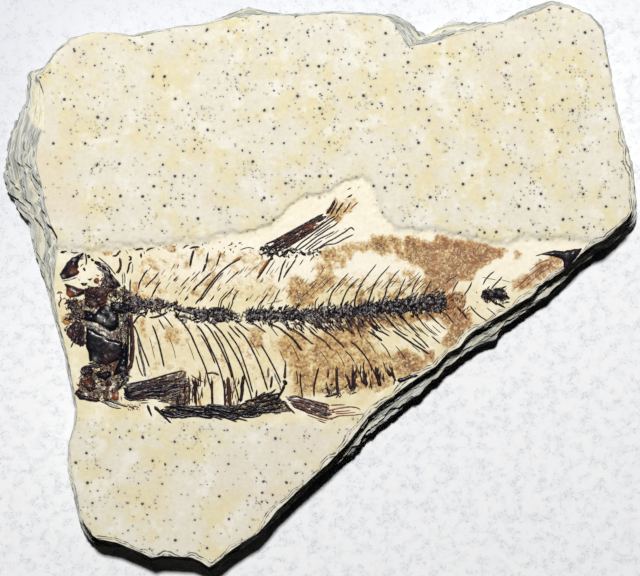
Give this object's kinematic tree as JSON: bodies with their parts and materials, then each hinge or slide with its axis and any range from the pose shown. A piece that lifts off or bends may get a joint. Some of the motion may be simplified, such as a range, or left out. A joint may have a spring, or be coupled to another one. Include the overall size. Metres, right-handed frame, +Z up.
{
  "type": "fossil fish",
  "caption": "Small fossil fish, head to tail in side view, lying on a broken flat slab of laminated limestone.",
  "frame": {"origin": "middle of the slab's underside, on the surface that it lies on", "axes": "+X along the fish from head to tail, +Y towards its back, +Z up out of the bedding plane"},
  "size_m": [0.1204, 0.1086, 0.0114],
  "materials": {
    "limestone": "matte",
    "black_bone": "satin",
    "brown_bone": "satin",
    "red_bone": "gloss"
  },
  "bodies": {
    "root": {"limestone_slab": "limestone", "snout_plate": "red_bone", "upper_jaw_plate": "red_bone", "skull_roof": "black_bone", "eye_socket_bones": "black_bone", "cheek_bones": "black_bone", "snout_side_bone": "brown_bone", "gill_cover": "black_bone", "jaw_branch": "brown_bone", "tongue_plate": "black_bone", "lower_jaw": "black_bone", "shoulder_bar": "brown_bone", "backbone_front": "black_bone", "backbone_rear": "black_bone", "tail_vertebrae": "black_bone", "neural_spine_1": "brown_bone", "neural_spine_2": "brown_bone", "neural_spine_3": "brown_bone", "neural_spine_4": "brown_bone", "rib_01": "brown_bone", "rib_02": "brown_bone", "rib_03": "brown_bone", "rib_04": "brown_bone", "rib_05": "brown_bone", "rib_06": "brown_bone", "rib_07": "brown_bone", "rib_08": "brown_bone", "rib_09": "brown_bone", "rib_10": "brown_bone", "rib_11": "brown_bone", "rib_12": "brown_bone", "rib_13": "brown_bone", "rib_14": "brown_bone", "rib_15": "brown_bone", "rib_16": "brown_bone", "rib_17": "brown_bone", "rib_18": "brown_bone", "predorsal_1": "red_bone", "predorsal_2": "brown_bone", "predorsal_3": "brown_bone", "predorsal_4": "brown_bone", "dorsal_fin": "black_bone", "fin_support_1": "red_bone", "fin_support_2": "red_bone", "fin_support_3": "brown_bone", "pectoral_fin": "brown_bone", "pelvic_bone": "black_bone", "pelvic_fin": "brown_bone", "belly_scutes_front": "black_bone", "belly_scutes_rear": "black_bone", "anal_support_1": "brown_bone", "anal_support_2": "brown_bone", "anal_support_3": "brown_bone", "anal_support_4": "brown_bone", "anal_support_5": "black_bone", "haemal_rod_1": "brown_bone", "haemal_rod_2": "brown_bone", "haemal_rod_3": "brown_bone", "tail_fin": "brown_bone"}
  },
  "joints": []
}
